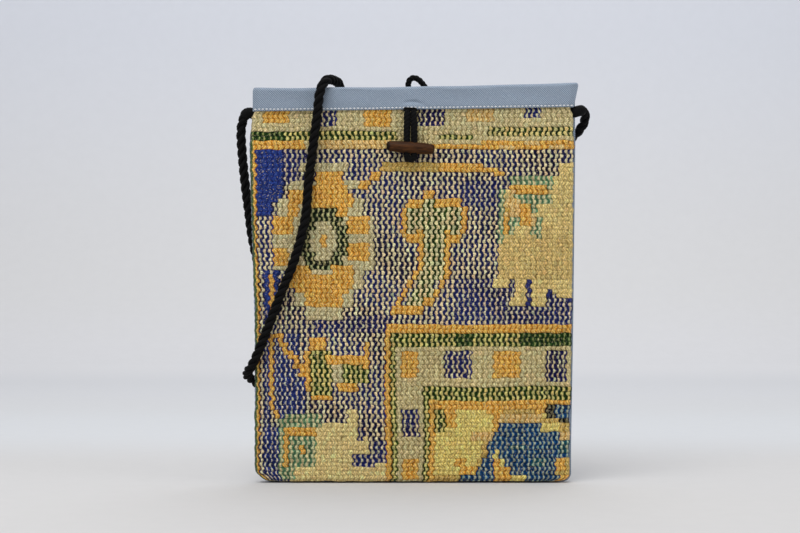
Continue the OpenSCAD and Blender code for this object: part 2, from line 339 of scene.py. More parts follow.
class Shader:
    """A material on one Principled node, with short ways to add nodes."""

    def __init__(self, name, roughness, sheen=0.0, specular=0.5, coat=0.0):
        self.material = bpy.data.materials.new(name)
        self.material.use_nodes = True
        self.tree = self.material.node_tree
        self.main = self.tree.nodes["Principled BSDF"]
        looks = {"Roughness": roughness, "Sheen Weight": sheen, "Sheen Roughness": 0.4,
                 "Specular IOR Level": specular, "Coat Weight": coat, "Coat Roughness": 0.3}
        for socket, number in looks.items():
            self.main.inputs[socket].default_value = number
        self.place = self.add("TexCoord").outputs["Object"]

    def feed(self, socket, value):
        if isinstance(value, bpy.types.NodeSocket):
            self.tree.links.new(value, socket)
        else:
            socket.default_value = value

    def add(self, kind, *values, **settings):
        """A new node with its settings, and what goes into its first sockets."""
        node = self.tree.nodes.new("ShaderNode" + kind)
        for name, setting in settings.items():
            setattr(node, name, setting)
        for socket, value in zip(node.inputs, values):
            self.feed(socket, value)
        return node

    def math(self, operation, *values):
        return self.add("Math", *values, operation=operation).outputs[0]

    def plus(self, first, second):
        return self.math("ADD", first, second)

    def minus(self, first, second):
        return self.math("SUBTRACT", first, second)

    def times(self, first, second):
        return self.math("MULTIPLY", first, second)

    def line(self, value, slope, start):
        """The value times the slope, plus the start."""
        return self.math("MULTIPLY_ADD", value, slope, start)

    def ramp(self, value, low, high, to_low=0.0, to_high=1.0):
        return self.add("MapRange", value, low, high, to_low, to_high,
                        interpolation_type="SMOOTHSTEP").outputs[0]

    def mix(self, share, first, second):
        node = self.add("Mix", data_type="RGBA")
        self.feed(node.inputs["Factor"], share)
        for socket, value in zip(node.inputs[6:8], (first, second)):
            if not isinstance(value, bpy.types.NodeSocket):
                value = (*linear(value), 1.0)
            self.feed(socket, value)
        return node.outputs[2]

    def scaled(self, colour, factor):
        """A colour times a number."""
        node = self.add("VectorMath", colour, operation="SCALE")
        self.feed(node.inputs["Scale"], factor)
        return node.outputs[0]

    def stretched(self, vector, scale):
        return self.add("VectorMath", vector, scale, operation="MULTIPLY").outputs[0]

    def parts(self, vector):
        return self.add("SeparateXYZ", vector).outputs

    def noise(self, scale, detail=2.0, vector=None):
        node = self.add("TexNoise", vector or self.place)
        node.inputs["Scale"].default_value = scale
        node.inputs["Detail"].default_value = detail
        return node.outputs["Fac"]

    def attribute(self, name):
        return self.add("Attribute", attribute_name=name).outputs["Vector"]

    def wave(self, value, times):
        """A sine between 0 and 1, with that many waves for each unit of value."""
        return self.line(self.math("SINE", self.times(value, times * TURN)), 0.5, 0.5)

    def bump(self, height, distance, strength):
        node = self.add("Bump")
        node.inputs["Strength"].default_value = strength
        node.inputs["Distance"].default_value = distance
        self.feed(node.inputs["Height"], height)
        self.feed(self.main.inputs["Normal"], node.outputs[0])

    def colour(self, value):
        self.feed(self.main.inputs["Base Color"], value)
        return self.material


def rug_material():
    """Wool knots: light nodes in columns, with darker strands winding between them."""
    s = Shader("rug_wool", 0.95, sheen=0.15, specular=0.15)
    across, down, relief = s.parts(s.attribute("weave"))
    fuzz = s.noise(1400, 3.0)
    knot_shape = s.parts(s.attribute("knot_shape"))[0]
    solid = s.ramp(knot_shape, 0.3, 0.33)
    from_middle = s.math("ABSOLUTE", s.minus(s.math("FRACT", across), 0.5))
    from_row = s.math("ABSOLUTE", s.minus(s.math("FRACT", down), 0.5))
    rounded = s.line(s.math("POWER", s.times(from_row, 2.0), 3.0), 0.17, from_middle)
    edge = s.line(s.minus(fuzz, 0.5), 0.2, rounded)
    strand = s.ramp(s.minus(edge, knot_shape), -0.03, 0.04)
    colour = s.mix(strand, s.attribute("node_colour"), s.attribute("strand_colour"))
    fibre = s.ramp(s.noise(2600, 2.0, s.stretched(s.place, (1.0, 1.0, 0.45))), 0.25, 0.75, 0.82, 1.14)
    # Painted shade: the colour darkens where the relief is low, in the crevices between the knots
    crevice_shade = s.ramp(relief, 0.0, 0.9, 0.64, 1.06)
    worn = s.ramp(s.noise(16, 3.0), 0.3, 0.7, 0.93, 1.06)
    speck = s.ramp(s.noise(820), 0.36, 0.64, 0.76, 1.18)
    # Painted shade: a darker line in the gaps between rows of knots
    row_gap_shade = s.ramp(from_row, 0.34, 0.5, 1.0, 0.92)
    # The two ends of each knot lie side by side, leaning one way in one row and the other in the next
    lean = s.line(s.math("MODULO", s.math("FLOOR", down), 2.0), -2.0, 1.0)
    slant = s.line(s.times(lean, s.math("FRACT", down)), 0.55, across)
    slant = s.line(s.noise(330, 1.0), 0.7, slant)
    yarn_end = s.wave(slant, 2.0)
    # Painted shade in the gap between the two ends of each knot, deeper in solid colours, and a painted
    # highlight on the tops of the ends
    gap_shade_level = s.line(solid, -0.24, 0.92)
    end_gap_shade_and_highlight = s.ramp(yarn_end, 0.05, 0.6, gap_shade_level, 1.08)
    for shade in (fibre, crevice_shade, worn, speck, row_gap_shade, end_gap_shade_and_highlight):
        colour = s.scaled(colour, shade)
    fleck = s.ramp(s.noise(850, 1.0), 0.62, 0.72, 0.0, 0.55)
    colour = s.mix(fleck, colour, (226, 206, 168))
    s.bump(s.line(yarn_end, 1.2, s.plus(fuzz, s.noise(3200, 1.0))), 0.0005, 0.85)
    return s.colour(colour)


def twill_material(name, dark, light):
    """Cotton twill with diagonal ribs, a fainter crossing thread and some fading."""
    s = Shader(name, 0.85, sheen=0.12, specular=0.2)
    x, _, z = s.parts(s.place)
    wobble = s.times(s.noise(90), 0.0006)
    rib = s.wave(s.plus(s.plus(z, x), wobble), 1 / 0.0016)
    thread = s.wave(s.plus(s.minus(z, x), wobble), 1 / 0.0013)
    slub = s.noise(1100, 3.0)
    patchy = s.ramp(s.noise(75), 0.35, 0.65, 0.3, 0.75)
    weave = s.line(s.minus(rib, 0.5), patchy, s.line(thread, 0.3, 0.35))
    share = s.plus(weave, s.line(slub, 0.5, -0.25))
    faded = s.ramp(s.noise(9, 4.0), 0.3, 0.7, 0.955, 1.045)
    s.bump(s.plus(weave, s.times(slub, 0.5)), 0.00022, 0.7)
    return s.colour(s.scaled(s.mix(share, dark, light), faded))


def plain_weave_material(name, dark, light, pitch):
    """Over and under cotton, with slubs."""
    s = Shader(name, 0.9, sheen=0.1, specular=0.2)
    x, _, z = s.parts(s.place)
    weave = s.times(s.wave(x, 1 / pitch), s.wave(z, 1 / pitch))
    slub = s.noise(700, 3.0)
    share = s.line(slub, 0.6, s.times(weave, 0.5))
    stain = s.ramp(s.noise(20, 3.0), 0.3, 0.7, 0.92, 1.04)
    s.bump(s.plus(weave, slub), 0.0002, 0.7)
    return s.colour(s.scaled(s.mix(share, dark, light), stain))


def thread_material():
    s = Shader("cotton_thread", 0.7, sheen=0.15, specular=0.3)
    x, _, z = s.parts(s.place)
    ply = s.wave(s.line(z, 2.0, x), 1 / 0.0007)
    share = s.line(s.noise(2500), 0.7, s.times(ply, 0.3))
    s.bump(share, 0.0001, 0.6)
    return s.colour(s.mix(share, (196, 199, 203), (250, 250, 248)))


def rope_material(name, dark, light, lines):
    """Fibres that wind round each ply, with some lint."""
    s = Shader(name, 0.72, sheen=0.02, specular=0.12)
    along, around_a, around_b = s.parts(s.attribute("fibre"))
    angle = s.math("ARCTAN2", around_b, around_a)
    winding = s.wave(s.line(angle, lines / TURN, s.times(along, 22.0)), 1.0)
    lint = s.noise(1500, 3.0)
    share = s.times(s.plus(winding, lint), s.ramp(lint, 0.35, 0.8, 0.15, 0.9))
    s.bump(s.plus(winding, lint), 0.00018, 0.8)
    return s.colour(s.mix(share, dark, light))


def wood_material():
    """Dark turned wood with its grain along the toggle."""
    s = Shader("toggle_wood", 0.55, specular=0.12, coat=0.02)
    grain = s.noise(1.0, 4.0, s.stretched(s.place, (110.0, 1500.0, 1500.0)))
    pores = s.noise(1.0, 2.0, s.stretched(s.place, (420.0, 4200.0, 4200.0)))
    body = s.mix(s.ramp(grain, 0.25, 0.78), (31, 15, 4), (84, 49, 20))
    dark = s.ramp(pores, 0.30, 0.48, 0.55, 1.0)
    x, _, z = s.parts(s.place)
    # Painted shade on the left end face, darkened with a curved edge; the colour also darkens towards the
    # right tip
    from_axis = s.minus(z, (TOGGLE_Z + 1.1) * MM)
    rounded = s.line(s.times(from_axis, from_axis), 110.0, x)
    left_end_shade = s.ramp(rounded, (CLOSURE_X - 14.6) * MM, (CLOSURE_X - 13.9) * MM, 0.2, 1.0)
    right_end = s.ramp(x, (CLOSURE_X + 15.2) * MM, (CLOSURE_X + 16.6) * MM, 1.0, 0.5)
    end = s.times(left_end_shade, right_end)
    s.bump(s.plus(grain, pores), 0.00016, 0.5)
    return s.colour(s.scaled(body, s.times(dark, end)))


# --- Camera, light and room ---

lens = bpy.data.cameras.new("camera")
lens.lens = 85
lens.sensor_width = 36
lens.clip_start = 0.05
lens.clip_end = 30
bpy.context.scene.camera = add_object("camera", lens, (-0.0095, -1.345, 0.1534), (math.pi / 2, 0, 0))


def add_light(name, power, size, location, aim):
    data = bpy.data.lights.new(name, "AREA")
    data.energy = power
    data.size = size
    x, y, z = np.subtract(aim, location)
    turn = (math.atan2(math.hypot(x, y), -z), 0.0, math.atan2(x, -y) + math.pi)
    add_object(name, data, location, turn)


def make_room():
    """A sweep of pale paper: floor, soft curve and wall, with painted light and shade in its tone, lighter
    and darker by place.
    """
    bend_y, bend_r, wall_h = 1.6, 0.6, 2.6
    arc = np.linspace(0, math.pi / 2, 25)
    profile = [(-4.0, 0.0), (bend_y, 0.0)]
    profile += [(bend_y + bend_r * math.sin(a), bend_r * (1 - math.cos(a))) for a in arc[1:]]
    profile += [(bend_y + bend_r, wall_h)]
    points = [(x, y, z) for y, z in profile for x in (-4.0, 4.0)]
    room = make_mesh("paper_sweep", np.array(points) / MM, grid_faces(len(profile), 2))
    s = Shader("sweep_paper", 0.95, specular=0.1)
    x, y, z = s.parts(s.place)
    # Painted light and shade: the tone of floor and wall changes with place, with a painted light band on
    # the floor behind the bag
    painted_light_band = s.times(s.ramp(y, 0.1, 0.4), s.ramp(y, 0.5, 0.95, 1.0, 0.0))
    floor = s.mix(s.ramp(y, 0.45, 0.95), (204, 203, 202), (208, 209, 211))
    floor = s.mix(s.ramp(y, 1.1, 1.6), floor, (221, 221, 222))
    past_view = s.math("MAXIMUM", s.ramp(y, -1.6, -0.4, 1.0, 0.0), s.ramp(s.math("ABSOLUTE", x), 0.8, 2.0))
    floor = s.mix(past_view, floor, (249, 249, 250))
    wall = s.mix(s.ramp(z, 0.1, 0.7), (220, 220, 220), (224, 227, 234))
    tone = s.mix(s.ramp(z, 0.01, 0.12), floor, wall)
    tone = s.mix(painted_light_band, tone, (208, 210, 212))
    grain = s.ramp(s.noise(60, 3.0), 0.2, 0.8, 0.992, 1.008)
    room.data.materials.append(s.colour(s.scaled(tone, grain)))

    world = bpy.data.worlds.new("studio")
    world.use_nodes = True
    background = world.node_tree.nodes["Background"]
    background.inputs["Color"].default_value = (*linear((230, 231, 236)), 1.0)
    background.inputs["Strength"].default_value = 0.52
    bpy.context.scene.world = world
    add_light("top_light", 28, 1.5, (-0.5, -1.1, 1.9), (0, 0, 0.12))
    add_light("side_light", 7, 1.2, (1.9, -0.9, 1.0), (0, 0, 0.14))
    add_light("back_light", 9, 1.4, (0.3, 1.3, 1.9), (0, 0, 0.1))
    add_light("wall_light", 16, 2.0, (0, 0.5, 2.8), (0, 2.2, 0.3))
    bpy.context.scene.view_settings.view_transform = "Standard"
    bpy.context.scene.view_settings.look = "None"


make_room()


def piece(obj, material, replaced=(), body="bag"):
    """Gives a piece its material, hides the nodes it stands for, and sets it on its body."""
    obj.data.materials.append(material)
    if replaced:
        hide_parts(*replaced)
    if body:
        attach(obj, body)
    return obj


# --- Strap ---

rope_black = rope_material("rope_fibre", (3, 3, 3), (14, 13, 14), 7)
cord_black = rope_material("cord_fibre", (3, 3, 3), (13, 13, 14), 6)

ROPE_STEP = 1.5
rope_line = np.concatenate([[(-115.5, -0.3, 262.9)], spline(STRAP_ROUTE, ROPE_STEP), [(115.5, -1.0, 263.6)]])
rope_line = spline(np.concatenate([rope_line[:-1:2], rope_line[-1:]]), ROPE_STEP)
rope = plied("strap_rope", rope_line, plies=3, offset=1.93, ply_r=1.69, pitch=19, sides=10)
piece(rope, rope_black, ["strap_cord"])


def strap_tack(name, line, node):
    """Where the rope is sewn into the side seam: a sleeve of tight thread, flat at its inner end."""
    line = spline(line, 0.35)
    t = np.linspace(0, 1, len(line))
    body = 2.2 + 1.6 * smooth(t * 2.2) - 0.5 * smooth((t - 0.85) / 0.15)
    ridge = 0.22 * np.abs(np.sin(np.arange(len(line)) * 0.35 / 1.1 * math.pi))
    obj = tube_piece(name, tube(line, body + ridge, 20))
    fibres(obj, np.repeat(t, 20), np.tile(ring_angles(20), len(line)))
    piece(obj, cord_black, [node])


strap_tack("left_strap_sewn_end", [(-109.5, -0.1, 260.5), (-113, -0.2, 261.9), (-116.5, -0.4, 262.7),
                                   (-118.8, -0.3, 262.0), (-120.4, 0.2, 259.9)], "left_strap_tack")
strap_tack("right_strap_sewn_end", [(109.5, -0.2, 261), (113, -0.6, 262.6), (116.5, -0.9, 263.8),
                                    (119, 0.2, 264.4), (120.7, 2.2, 264.7)], "right_strap_tack")


# --- Rug front ---

COLUMNS = 60
FIRST_COLUMN_X = -115
COLUMN_W = 3.81
ROWS_TOP = -1.5
ROWS_END = 83.5
ROW_H = 3.1725
ZIGZAG = 0.2
RELIEF = 1.8
RUG_EDGE_R = 2.6
UNDER_BAND_Z = 261
EDGE_FOLLOW = 8
# Each knot has this many lines of points each way, and these are their heights
PER_KNOT = 4
NODE_ACROSS = np.array([0.0, 0.78, 1.0, 0.78])
NODE_DOWN = np.array([0.3, 0.86, 1.0, 0.86])
STRAND_LEVEL = 0.08
SOLID_LEVEL = 0.72

# Each kind of knot: its light node, the darker strand beside it, and half the node's width in columns.
# Where both are much the same colour, the strand lies almost as high as the node.
WIDE = 0.3
OPEN = 0.26
CLOSE = 0.2
SPOT = 0.16
SOLID = 0.36
YARN = {
    "field": ((232, 215, 168), (22, 18, 58), OPEN),
    "dense": ((210, 196, 160), (26, 28, 92), CLOSE),
    "spotted": ((214, 206, 176), (36, 54, 126), SPOT),
    "beige": ((223, 207, 151), (183, 164, 108), SOLID),
    "pale": ((224, 208, 154), (184, 168, 114), SOLID),
    "orange": ((246, 192, 94), (206, 136, 40), SOLID),
    "peach": ((238, 204, 134), (206, 158, 80), SOLID),
    "ochre": ((220, 186, 104), (182, 144, 68), SOLID),
    "navy": ((222, 208, 162), (28, 24, 86), CLOSE),
    "royal": ((42, 65, 136), (26, 42, 114), SOLID),
    "green": ((220, 205, 122), (40, 68, 16), OPEN),
    "moss": ((142, 148, 84), (32, 64, 20), SPOT),
    "leaf": ((236, 220, 162), (42, 68, 18), WIDE),
    "ring": ((186, 184, 126), (20, 38, 14), CLOSE),
    "edge": ((78, 104, 58), (40, 70, 34), SOLID),
    "cream": ((218, 206, 158), (182, 166, 116), SOLID),
    "sand": ((242, 214, 138), (218, 190, 116), SOLID),
    "worn": ((226, 196, 123), (204, 174, 103), SOLID),
    "clean": ((252, 224, 152), (227, 199, 128), SOLID),
    "hook": ((230, 208, 132), (40, 64, 14), WIDE),
    "straw": ((250, 224, 130), (226, 198, 104), SOLID),
    "ink": ((44, 52, 112), (24, 26, 78), SOLID),
    "mint": ((212, 204, 152), (104, 150, 110), OPEN),
    "teal": ((178, 190, 160), (32, 98, 112), CLOSE),
    "tealblue": ((160, 172, 150), (12, 74, 128), CLOSE),
    "black": ((120, 112, 80), (18, 18, 18), CLOSE),
}

# The pattern in knots, from the rug's top left: kind, then boxes of first column, first row, and the
# column and row after the last. A later box lies over an earlier one.
PATTERN = [
    ("field", [(-1, 9, 61, 84)]),
    ("pale", [(-1, -2, 61, 5)]),
    ("orange", [(2, 0, 7, 3), (21, 0, 26, 4)]),
    ("navy", [(12, -1, 16, 4), (31, -1, 36, 4), (51, -1, 54, 2)]),
    ("peach", [(40, -1, 45, 3)]),
    ("green", [(-1, 5, 27, 7), (35, 6, 41, 7)]),
    ("hook", [(44, 4, 60, 6)]),
    ("moss", [(-1, 5, 6, 7)]),
    ("orange", [(0, 7, 10, 9), (33, 8, 43, 9), (43, 7, 60, 9)]),
    ("peach", [(13, 7, 26, 9), (46, 8, 49, 9), (51, 7, 54, 8), (55, 8, 58, 9)]),
    # Upper left corner of the field
    ("royal", [(1, 9, 6, 21), (1, 21, 4, 24)]),
    ("dense", [(6, 9, 11, 13), (6, 13, 9, 17), (39, 16, 46, 22), (38, 38, 46, 47), (12, 46, 26, 50)]),
    ("cream", [(9, 12, 18, 14), (7, 16, 20, 18), (5, 20, 21, 24), (4, 24, 23, 36), (6, 36, 21, 40),
        (8, 40, 19, 44), (10, 44, 17, 47)]),
    # Flower
    ("orange", [(12, 14, 17, 17), (11, 17, 18, 19), (11, 19, 19, 22), (14, 22, 18, 24), (7, 18, 10, 21),
        (7, 21, 9, 24), (4, 24, 8, 28), (4, 31, 7, 35), (18, 24, 22, 28), (18, 30, 22, 34),
        (7, 35, 11, 37), (15, 35, 19, 37), (7, 37, 19, 40), (8, 40, 18, 41), (10, 41, 17, 44)]),
    ("ring", [(11, 22, 16, 24), (10, 24, 17, 26), (9, 26, 18, 33), (10, 33, 17, 35), (11, 35, 15, 36)]),
    ("cream", [(12, 25, 15, 27), (11, 27, 16, 32), (12, 32, 15, 34)]),
    ("orange", [(13, 28, 14, 31)]),
    ("royal", [(2, 36, 3, 45), (4, 36, 5, 44)]),
    ("orange", [(3, 37, 4, 45)]),
    # Upper middle of the field
    ("ochre", [(24, 12, 35, 14)]),
    ("orange", [(35, 12, 43, 14), (43, 13, 46, 14), (45, 14, 47, 15), (22, 14, 24, 16), (20, 16, 22, 18)]),
    # Leaf
    ("leaf", [(29, 22, 39, 28), (32, 20, 34, 22), (32, 28, 36, 38), (31, 36, 34, 40), (30, 40, 34, 42),
        (29, 42, 32, 44)]),
    ("orange", [(32, 18, 34, 20), (29, 20, 32, 22), (34, 20, 39, 22), (28, 22, 29, 29), (39, 22, 40, 28),
        (29, 28, 31, 30), (37, 28, 39, 30), (31, 27, 32, 36), (36, 27, 37, 38), (30, 36, 31, 38),
        (29, 38, 30, 40), (28, 40, 29, 42), (27, 42, 28, 44), (35, 38, 36, 40), (34, 40, 35, 42),
        (32, 42, 34, 44), (26, 44, 32, 46)]),
    # Sand field with its sprig
    ("sand", [(46, 15, 61, 39), (57, 12, 61, 15), (45, 38, 61, 44)]),
    ("worn", [(46, 28, 61, 38), (53, 26, 56, 28)]),
    ("field", [(46, 15, 47, 20), (47, 15, 48, 18)]),
    ("mint", [(48, 15, 56, 17), (55, 17, 56, 18), (49, 19, 56, 21), (46, 18, 47, 30)]),
    ("orange", [(48, 17, 55, 19)]),
    ("peach", [(48, 18, 49, 20), (47, 20, 50, 24), (52, 23, 53, 26)]),
    ("orange", [(50, 21, 52, 26), (47, 24, 48, 28), (47, 22, 48, 23)]),
    ("mint", [(48, 24, 50, 26), (48, 26, 49, 28), (52, 21, 53, 23), (53, 24, 54, 29), (52, 26, 53, 28)]),
    ("dense", [(48, 38, 49, 42), (44, 40, 48, 44), (51, 41, 52, 42), (55, 42, 58, 44), (56, 41, 57, 42),
        (58, 42, 61, 45), (46, 44, 61, 48)]),
    ("ink", [(51, 38, 52, 41), (51, 42, 52, 44), (55, 40, 56, 42), (59, 42, 61, 43)]),
    # Inner border
    ("orange", [(25, 48, 61, 50), (25, 49, 26, 84)]),
    ("green", [(26, 50, 61, 53), (26, 51, 27, 84)]),
    ("moss", [(38, 50, 41, 53), (50, 50, 61, 53)]),
    ("beige", [(27, 53, 61, 62), (27, 53, 32, 84)]),
    ("orange", [(28, 54, 31, 60), (45, 54, 50, 60), (28, 78, 31, 83)]),
    ("navy", [(36, 54, 41, 60), (55, 54, 59, 61), (28, 67, 31, 73)]),
    ("green", [(32, 62, 61, 65), (32, 65, 33, 84)]),
    ("orange", [(33, 65, 61, 67), (33, 65, 34, 84)]),
    # Inner field
    ("straw", [(34, 67, 61, 84)]),
    ("green", [(34, 67, 36, 72)]),
    ("orange", [(36, 66, 38, 71), (44, 66, 55, 68), (45, 68, 46, 72)]),
    ("peach", [(46, 68, 54, 70), (41, 72, 45, 74), (58, 72, 61, 74)]),
    ("ochre", [(47, 67, 53, 68), (54, 69, 58, 70), (58, 70, 61, 72), (43, 74, 44, 78), (42, 78, 43, 80),
        (34, 82, 39, 84), (57, 78, 61, 84)]),
    ("tealblue", [(57, 66, 61, 69), (46, 70, 54, 72), (45, 72, 58, 74), (44, 74, 61, 78), (43, 78, 57, 80),
        (42, 80, 57, 82), (39, 82, 45, 84), (51, 82, 58, 84)]),
    ("black", [(55, 66, 57, 69), (58, 69, 60, 70)]),
    ("teal", [(58, 74, 60, 77), (48, 75, 51, 76), (52, 78, 55, 80)]),
    ("straw", [(45, 76, 46, 78), (46, 78, 47, 80)]),
    ("orange", [(45, 78, 46, 80), (45, 80, 48, 84), (57, 78, 59, 81), (58, 82, 60, 84), (38, 78, 40, 80),
        (39, 80, 42, 82)]),
    # Lower left of the field
    ("spotted", [(4, 50, 9, 69), (9, 60, 10, 68)]),
    ("cream", [(15, 57, 18, 61)]),
    ("green", [(11, 54, 15, 64), (17, 57, 22, 61)]),
    ("orange", [(11, 51, 14, 54), (10, 54, 11, 63), (11, 64, 15, 65), (14, 55, 21, 57), (16, 61, 20, 63),
        (21, 52, 22, 58), (3, 50, 4, 67),
        *[(4 + 0.6 * k, 50 + k, 5.7 + 0.6 * k, 51 + k) for k in range(10)], (4, 67, 5, 69)]),
    ("clean", [(7, 70, 25, 84), (18, 67, 20, 70)]),
    ("field", [(20, 69, 25, 73), (22, 73, 25, 77)]),
    ("mint", [(6, 68, 13, 71), (7, 73, 12, 80), (5, 69, 6, 83), (6, 80, 8, 83)]),
    ("orange", [(7, 71, 12, 73), (6, 71, 7, 80), (9, 75, 10, 77)]),
    ("spotted", [(2, 71, 5, 84), (2, 45, 3, 71)]),
    ("dense", [(20, 71, 21, 74), (23, 74, 25, 79), (19, 77, 23, 80)]),
    # Left edge
    ("orange", [(0, 7, 1, 84)]),
]


def knot_colours(rng):
    """Node and strand colour of every knot, row by row."""
    first = math.floor(ROWS_TOP)
    column, row = np.meshgrid(np.arange(COLUMNS) + 0.5, np.arange(first, math.ceil(ROWS_END)) + 0.5)
    kinds = list(YARN)
    kind = np.full(column.shape, kinds.index("beige"))
    for name, boxes in PATTERN:
        for u0, v0, u1, v1 in boxes:
            kind[(column >= u0) & (column < u1) & (row >= v0) & (row < v1)] = kinds.index(name)
    node, strand, half_node = (np.array(part)[kind] for part in zip(*YARN.values()))
    node, strand = linear(node), linear(strand)
    # Each knot is dyed a little differently, and the blue yarn goes from navy to royal in patches
    uneven = np.where(half_node == SOLID, 0.6, 1.0)[..., None]
    pinkish = rng.normal(0, 0.06, kind.shape)[..., None] * uneven
    node = node * (1 + rng.normal(0, 0.13, kind.shape)[..., None] * uneven)
    node = node * (1 + pinkish * np.array([1.0, -0.2, -0.5]))
    strand = strand * (1 + rng.normal(0, 0.22, kind.shape)[..., None] * uneven)
    patch = smooth(0.5 + 0.6 * ripple(column, row, 16, 5))
    bluer = np.isin(kind, [kinds.index(k) for k in ("field", "dense", "navy")]) * patch * 0.62
    strand = strand * (1 - bluer[..., None]) + linear((44, 60, 138)) * bluer[..., None]
    half_node = half_node + rng.normal(0, 0.02, kind.shape)
    return np.clip(node, 0.002, 0.95), np.clip(strand, 0.002, 0.9), half_node, first


def closed_relief(front, back, step):
    """Points and faces of a front closed by a coarse back: every row, but only one column in each step."""
    rows, cols = front.shape[:2]
    keep = np.arange(0, cols, step)
    ring = border(rows, cols)
    after = np.roll(ring, -1)
    kept = np.concatenate([ring, (np.arange(1, rows - 1)[:, None] * cols + keep[1:-1]).ravel()])
    behind = np.full(rows * cols, -1)
    behind[kept] = rows * cols + np.arange(len(kept))
    faces = grid_faces(rows, cols).tolist()
    faces += np.stack([ring, after, behind[after], behind[ring]], axis=1).tolist()
    for r in range(rows - 1):
        for first, last in zip(keep[:-1], keep[1:]):
            above = np.arange(first, last + 1) if r == 0 else np.array([first, last])
            below = np.arange(last, first - 1, -1) if r == rows - 2 else np.array([last, first])
            faces.append(behind[np.concatenate([r * cols + above, (r + 1) * cols + below])])
    return np.concatenate([front.reshape(-1, 3), back.reshape(-1, 3)[kept]]), faces


def rug_panel():
    """The rug as one relief of knots, with rounded edges that turn in to the seams."""
    rng = np.random.default_rng(382)
    node_colour, strand_colour, half_node, first_row = knot_colours(rng)
    line_u = np.arange(COLUMNS * PER_KNOT + 1)
    line_v = np.arange(round(ROWS_TOP * PER_KNOT), round(ROWS_END * PER_KNOT) + 1)
    u, v = line_u / PER_KNOT, line_v / PER_KNOT
    across, down = np.meshgrid(u, v)
    step_u, step_v = line_u % PER_KNOT, line_v % PER_KNOT
    cell_u = np.clip(np.floor(u + 0.01), 0, COLUMNS - 1).astype(int)
    cell_v = np.clip(np.floor(v + 0.01) - first_row, 0, len(node_colour) - 1).astype(int)

    height = 1 + rng.normal(0, 0.13, node_colour.shape[:2])
    lean = rng.normal(0, 0.065, node_colour.shape[:2])
    knot_height = height[cell_v][:, cell_u]
    knot_lean = lean[cell_v][:, cell_u]
    knot_rise = rng.normal(0, 0.09, lean.shape)[cell_v][:, cell_u] * (step_v > 0)[:, None]
    relief = NODE_DOWN[step_v][:, None] * NODE_ACROSS[step_u][None] * knot_height
    level = np.where(half_node >= 0.5 * (OPEN + SOLID), SOLID_LEVEL, STRAND_LEVEL)[cell_v][:, cell_u]
    relief = level * (0.68 + 0.32 * NODE_DOWN[step_v][:, None]) + (1 - level) * relief

    near_edge = np.clip(np.minimum(across, COLUMNS - across), 0.3, 1)
    drift = 0.16 * ripple(across, down, 22, 11)
    column = across + near_edge * (ZIGZAG * np.sin(math.pi * down) + drift + knot_lean)
    z = (ROWS_END - down - knot_rise * np.clip(down + 1, 0, 1) * np.clip(ROWS_END - 1 - down, 0, 1)) * ROW_H
    uneven = 0.5 * ripple(across, down, 18, 12) + 0.33 * ripple(across, down, 2.9, 17)
    z = z + uneven * np.clip(z / 12, 0, 1)
    lift = 1.1 + 0.35 * ripple(across, down * 0, 11, 16) + 0.2 * ripple(across, down * 0, 3, 18)
    under_band = 1.8 * smooth((z - UNDER_BAND_Z) / 4)
    left, right = side_x(z, -1) + under_band, side_x(z, 1) - under_band
    z = z + lift * np.clip(1 - z / 20, 0, 1)
    x = FIRST_COLUMN_X + COLUMN_W * column
    # The outer columns follow the edges of the sack
    x = x + (left - FIRST_COLUMN_X) * (1 - smooth(across / EDGE_FOLLOW))
    right_gap = right - FIRST_COLUMN_X - COLUMN_W * COLUMNS
    x = x + right_gap * smooth(1 - (COLUMNS - across) / EDGE_FOLLOW)
    rough = 0.6 * ripple(across * 0, down, 9, 13) + 0.4 * ripple(across * 0, down, 2.4, 15)
    x = x + rough * (1 - near_edge)

    inside = np.clip(np.minimum(np.minimum(x - left, right - x), z - lift), 0, None)
    turned = edge_fall(inside, RUG_EDGE_R)
    soft = 0.55 * ripple(x, z, 70, 14) * smooth(inside / 15)
    face = depth(x, z)
    y = -(face + RUG_OUT - RELIEF * (1 - relief) - turned + soft)

    points, faces = closed_relief(xyz(x, y, z), xyz(x, -(face + SHELL_IN), z), 20)
    obj = make_mesh("rug_front", points, faces)

    rows, cols = x.shape
    n = rows * cols
    ring = border(rows, cols)
    weave = np.zeros(points.shape)
    weave[:n] = xyz(across, down, relief).reshape(-1, 3)
    weave[n:n + len(ring)] = weave[ring]
    set_vectors(obj, "weave", weave)
    # Colours of the front quads and of the rim, then plain yarn for the hidden inner face
    cell_row = np.repeat(cell_v[:-1], cols - 1)
    cell_column = np.tile(cell_u[:-1], rows - 1)
    rim_row = cell_v[ring // cols]
    rim_column = cell_u[np.minimum(ring % cols, cols - 2)]
    hidden = len(faces) - len(cell_row) - len(ring)
    # The outermost yarn of the left edge is green below the top border
    border_row = 5 - first_row
    green_front = (np.tile(np.arange(cols - 1), rows - 1) < 2) & (cell_row >= border_row)
    green_rim = (ring % cols == 0) & (rim_row >= border_row)
    green = np.concatenate([green_front, green_rim, np.zeros(hidden, bool)])
    for name, table, part in (("node_colour", node_colour, 0), ("strand_colour", strand_colour, 1)):
        colours = np.concatenate([table[cell_row, cell_column], table[rim_row, rim_column],
                                  np.tile(linear(YARN["beige"][part]), (hidden, 1))])
        colours[green] = linear(YARN["edge"][part])
        corner_colours(obj, name, colours)
    shape = np.concatenate([half_node[cell_row, cell_column], half_node[rim_row, rim_column],
                            np.full(hidden, SOLID)])
    corner_colours(obj, "knot_shape", np.repeat(shape[:, None], 3, axis=1))
    return obj


rug = piece(rug_panel(), rug_material(), ["front_rug_panel"])


# --- Cloth back and linings ---

twill = twill_material("blue_twill", (86, 101, 120), (172, 185, 199))
cotton = plain_weave_material("lining_weave", (196, 192, 180), (242, 240, 232), 0.0011)
seam_cloth = plain_weave_material("seam_weave", (116, 128, 148), (180, 190, 206), 0.0018)
thread = thread_material()
BACK_EDGE_R = 1.2


